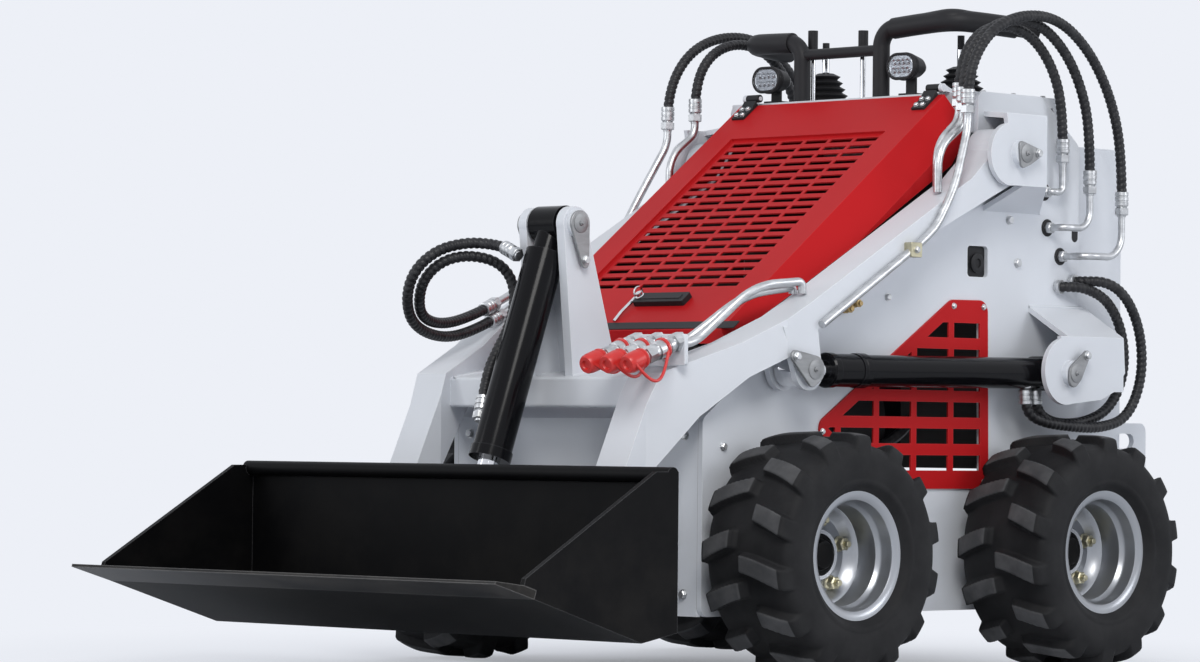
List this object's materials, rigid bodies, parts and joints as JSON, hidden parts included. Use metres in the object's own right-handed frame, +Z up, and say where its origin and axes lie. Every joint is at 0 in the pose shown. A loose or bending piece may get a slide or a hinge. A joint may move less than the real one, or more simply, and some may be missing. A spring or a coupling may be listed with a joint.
{
  "type": "stand-on skid steer loader",
  "caption": "Small stand-on skid steer loader with lift arms, hydraulic cylinders, a tilting bucket, an opening hood and rolling wheels.",
  "frame": {"origin": "on the ground under the middle of the machine's whole length and width, bucket and standing platform included", "axes": "+Z up, -Y forward towards the bucket's cutting edge, +X to the machine's left"},
  "size_m": [1.151, 2.1, 1.2796],
  "materials": {
    "body_paint": "satin",
    "red_paint": "gloss",
    "black_paint": "satin",
    "gloss_black": "gloss",
    "chrome": "polished",
    "zinc": "plated",
    "rubber": "matte",
    "tyre": "matte",
    "rim_paint": "satin",
    "worn_steel": "worn",
    "engine_metal": "cast",
    "lamp": "clear lens in a black case",
    "black_plastic": "matte"
  },
  "bodies": {
    "chassis": {"chassis_side_left": "body_paint", "chassis_side_right": "body_paint", "belly_plate": "body_paint", "front_plate": "body_paint", "engine": "engine_metal", "engine_cradle": "body_paint", "rear_body": "body_paint", "console": "body_paint", "platform": "black_paint", "side_grille_left": "red_paint", "side_grille_right": "red_paint", "tower_plate_left": "body_paint", "tower_plate_right": "body_paint", "work_lamps": "lamp", "grab_bars": "black_plastic", "hand_controls": "black_plastic", "axle_front": "black_paint", "axle_rear": "black_paint", "chassis_pipes": "zinc", "boom_hoses_left": "rubber", "boom_hoses_right": "rubber", "lift_hoses_left": "rubber", "lift_hoses_right": "rubber"},
    "boom": {"arm_left": "body_paint", "arm_right": "body_paint", "crossmember": "body_paint", "tilt_bracket": "body_paint", "boom_tubes": "zinc", "couplers": "zinc", "tilt_hoses": "rubber"},
    "lift_left_barrel": {"lift_left_barrel": "gloss_black"},
    "lift_left_rod": {"lift_left_rod": "chrome"},
    "lift_right_barrel": {"lift_right_barrel": "gloss_black"},
    "lift_right_rod": {"lift_right_rod": "chrome"},
    "tilt_barrel": {"tilt_barrel": "gloss_black"},
    "tilt_rod": {"tilt_rod": "chrome"},
    "bucket": {"attach_plate": "black_paint", "bucket_shell": "black_paint", "cutting_edge": "worn_steel"},
    "hood": {"hood_panel": "red_paint", "hood_grille": "red_paint", "hood_fittings": "black_plastic"},
    "wheel_front_left": {"tyre_front_left": "tyre", "rim_front_left": "rim_paint"},
    "wheel_front_right": {"tyre_front_right": "tyre", "rim_front_right": "rim_paint"},
    "wheel_rear_left": {"tyre_rear_left": "tyre", "rim_rear_left": "rim_paint"},
    "wheel_rear_right": {"tyre_rear_right": "tyre", "rim_rear_right": "rim_paint"}
  },
  "joints": [
    {"name": "boom_lift", "type": "hinge", "parent": "chassis", "child": "boom", "pos_m": [0, 0.455, 0.987], "axis": [-1, 0, 0], "range_deg": [0, 75], "deforming": ["boom_hoses_left", "boom_hoses_right"]},
    {"name": "lift_left_turn", "type": "hinge", "parent": "chassis", "child": "lift_left_barrel", "pos_m": [0.376, 0.611, 0.568], "axis": [-1, 0, 0], "range_deg": [0, 50.78], "deforming": ["lift_hoses_left"]},
    {"name": "lift_left_slide", "type": "slide", "parent": "lift_left_barrel", "child": "lift_left_rod", "axis": [0, -1, -0.0076], "range_m": [0, 0.3912]},
    {"name": "lift_right_turn", "type": "hinge", "parent": "chassis", "child": "lift_right_barrel", "pos_m": [-0.376, 0.611, 0.568], "axis": [-1, 0, 0], "range_deg": [0, 50.78], "deforming": ["lift_hoses_right"]},
    {"name": "lift_right_slide", "type": "slide", "parent": "lift_right_barrel", "child": "lift_right_rod", "axis": [0, -1, -0.0076], "range_m": [0, 0.3912]},
    {"name": "bucket_tilt", "type": "hinge", "parent": "boom", "child": "bucket", "pos_m": [0, -0.475, 0.15], "axis": [1, 0, 0], "range_deg": [0, 65]},
    {"name": "tilt_turn", "type": "hinge", "parent": "boom", "child": "tilt_barrel", "pos_m": [0, -0.372, 0.83], "axis": [-1, 0, 0], "range_deg": [0, 1.14], "deforming": ["tilt_hoses"]},
    {"name": "tilt_slide", "type": "slide", "parent": "tilt_barrel", "child": "tilt_rod", "axis": [0, -0.3381, -0.9411], "range_m": [0, 0.1791]},
    {"name": "hood_open", "type": "hinge", "parent": "chassis", "child": "hood", "pos_m": [0, 0.424, 1.12], "axis": [-1, 0, 0], "range_deg": [0, 60]},
    {"name": "wheel_front_left_spin", "type": "hinge", "parent": "chassis", "child": "wheel_front_left", "pos_m": [0.4675, -0.1375, 0.225], "axis": [1, 0, 0], "continuous": true},
    {"name": "wheel_front_right_spin", "type": "hinge", "parent": "chassis", "child": "wheel_front_right", "pos_m": [-0.4675, -0.1375, 0.225], "axis": [1, 0, 0], "continuous": true},
    {"name": "wheel_rear_left_spin", "type": "hinge", "parent": "chassis", "child": "wheel_rear_left", "pos_m": [0.4675, 0.5675, 0.225], "axis": [1, 0, 0], "continuous": true},
    {"name": "wheel_rear_right_spin", "type": "hinge", "parent": "chassis", "child": "wheel_rear_right", "pos_m": [-0.4675, 0.5675, 0.225], "axis": [1, 0, 0], "continuous": true}
  ],
  "couplings": [
    {"joint": "lift_left_turn", "follows": "boom_lift", "ratio": 0.67683},
    {"joint": "lift_left_slide", "follows": "boom_lift", "m_per_rad": 0.29881},
    {"joint": "lift_right_turn", "follows": "boom_lift", "ratio": 0.67683},
    {"joint": "lift_right_slide", "follows": "boom_lift", "m_per_rad": 0.29881},
    {"joint": "tilt_turn", "follows": "bucket_tilt", "ratio": 0.017272},
    {"joint": "tilt_slide", "follows": "bucket_tilt", "m_per_rad": 0.15776}
  ]
}
